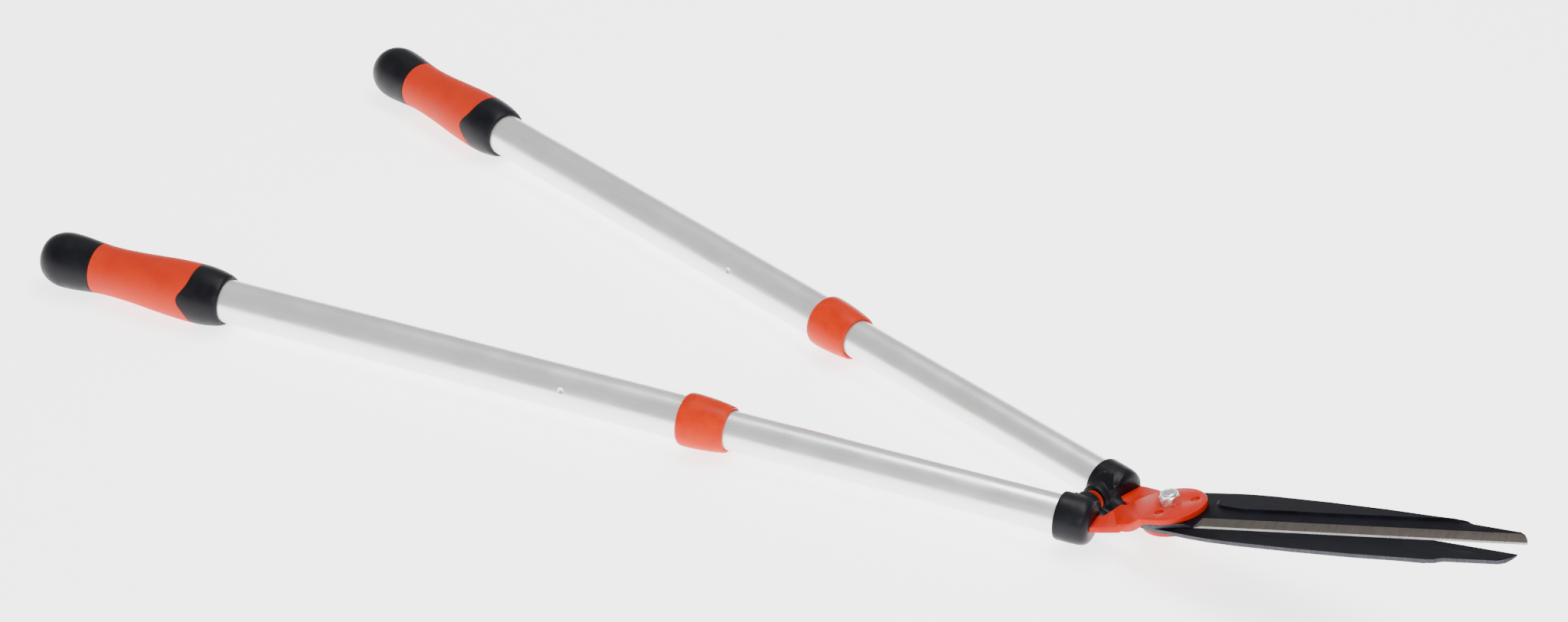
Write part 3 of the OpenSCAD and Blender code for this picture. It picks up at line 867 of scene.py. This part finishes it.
def panel_rows():
    rows = [("panel", 0.0015, -PANEL_SKIN), ("panel", 0.0015, -0.3), ("panel", 0.005, -0.02)]
    rows += [("panel", i / 28, 0) for i in range(1, 28)]
    rows += [("panel", 0.995, -0.02), ("panel", 0.9985, -0.3), ("panel", 0.9985, -PANEL_SKIN)]
    return rows + [("panel", i / 6, -PANEL_SKIN) for i in range(5, 0, -1)]


def make_grip(name, side, rows):
    """A ring for each row is turned first, then set to its radius; the rows follow the panel's ends."""
    grip = turned(name, [(index, 10) for index in range(len(rows))] + [(0, 10)], 96)
    for vertex in grip.data.vertices:
        stretch, where, height = rows[int(round(vertex.co.x / MM))]
        turn = math.atan2(vertex.co.z, vertex.co.y)
        front = panel_front(math.degrees(turn))
        ends = {"front": (GRIP_FRONT + FRONT_RIM[-1][0], front), "panel": (front, PANEL_REAR),
                "rear": (PANEL_REAR, GRIP_END)}
        if stretch == "fixed":
            s, radius = where, height
        else:
            start, end = ends[stretch]
            s = start + (end - start) * where
            radius = grip_radius(s) + height
        vertex.co = Vector((s, radius * math.cos(turn), radius * math.sin(turn))) * MM
    tidy_mesh(grip)
    place(grip, HANDLES[side])
    smooth(grip, 40)
    return grip


for side in ("near", "far"):
    hand_over(make_grip(side + "_grip_body_moulded", side, body_rows()), side + "_slide",
              "black_plastic", [FINISHES["grip"]], side + "_grip_body")
    hand_over(make_grip(side + "_grip_panel_moulded", side, panel_rows()), side + "_slide",
              "orange_rubber", [FINISHES["soft"]], side + "_grip_panel")

# ---- Finishes of the frame's own pieces ----
# by the node's name, or by its name without its side
NODE_FINISHES = {
    "pivot_bolt": "zinc", "pivot_bush": "zinc", "spring_washer": "zinc", "nut_insert": "nylon",
    "tang_core": "black", "head_pin": "zinc", "guide_plug": "black", "collet": "black",
    "wiper_ring": "rubber", "end_plug": "black",
}
for node, piece in frame["nodes"].items():
    side, _, kind = node.partition("_")
    if kind in ("outer_tube", "inner_tube"):
        key = side + "_tube"
    else:
        key = NODE_FINISHES.get(kind, NODE_FINISHES.get(node))
    if key is None:
        continue
    if not piece.material_slots:
        piece.data.materials.append(FINISHES[key])
    for material_slot in piece.material_slots:
        material_slot.material = FINISHES[key]


# ---- Camera, floor and light ----
CAMERA_RIGHT = Vector((0.80531, 0.59281, 0.00765))
CAMERA_UP = Vector((-0.31246, 0.41344, 0.85524))
CAMERA_AT = HANDLE_CENTRE + Vector((1.09274, -1.94582, 1.51493))
FLOOR_SIZE, FLOOR_DROP = 14, 0.5 * MM


def camera():
    data = bpy.data.cameras.new("camera")
    data.lens = 92.5
    data.sensor_width = 36
    data.clip_end = 50
    eye = bpy.data.objects.new("camera", data)
    bpy.context.collection.objects.link(eye)
    back = CAMERA_RIGHT.cross(CAMERA_UP)
    eye.matrix_world = Matrix((CAMERA_RIGHT, CAMERA_UP, back)).transposed().to_4x4()
    eye.location = CAMERA_AT
    bpy.context.scene.camera = eye


def soft_box(name, place_at, aim, size, power):
    light = bpy.data.lights.new(name, "AREA")
    light.shape = "RECTANGLE"
    light.size, light.size_y = size
    light.energy = power
    lamp = bpy.data.objects.new(name, light)
    lamp.location = place_at
    lamp.rotation_euler = (Vector(aim) - Vector(place_at)).to_track_quat("-Z", "Y").to_euler()
    bpy.context.collection.objects.link(lamp)


def studio():
    clear_selection()
    bpy.ops.mesh.primitive_plane_add(size=FLOOR_SIZE, location=(0, 0, -FLOOR_DROP))
    floor = bpy.context.object
    floor.name = "floor"
    paper = Finish("paper")
    fibre = paper.noise(4, 3)
    paper.drive("Base Color", paper.mix(paper.span(fibre, 0, 1), (0.93, 0.93, 0.93), (0.95, 0.95, 0.95)))
    paper.set(rough=0.9, specular=0.1)
    paper.shader.inputs["Emission Color"].default_value = (1, 1, 1, 1)
    paper.shader.inputs["Emission Strength"].default_value = 2.8
    floor.data.materials.append(paper.material)
    world = bpy.data.worlds.new("studio")
    bpy.context.scene.world = world
    world.use_nodes = True
    background = world.node_tree.nodes["Background"]
    background.inputs["Color"].default_value = (1, 1, 1, 1)
    background.inputs["Strength"].default_value = 0.6
    soft_box("overhead", (0.2, 0.3, 2.4), (0, 0, 0), (2.4, 0.9), 70)
    soft_box("front", (1.4, -2.2, 1.3), (0, 0, 0), (1.6, 0.7), 30)


camera()
studio()
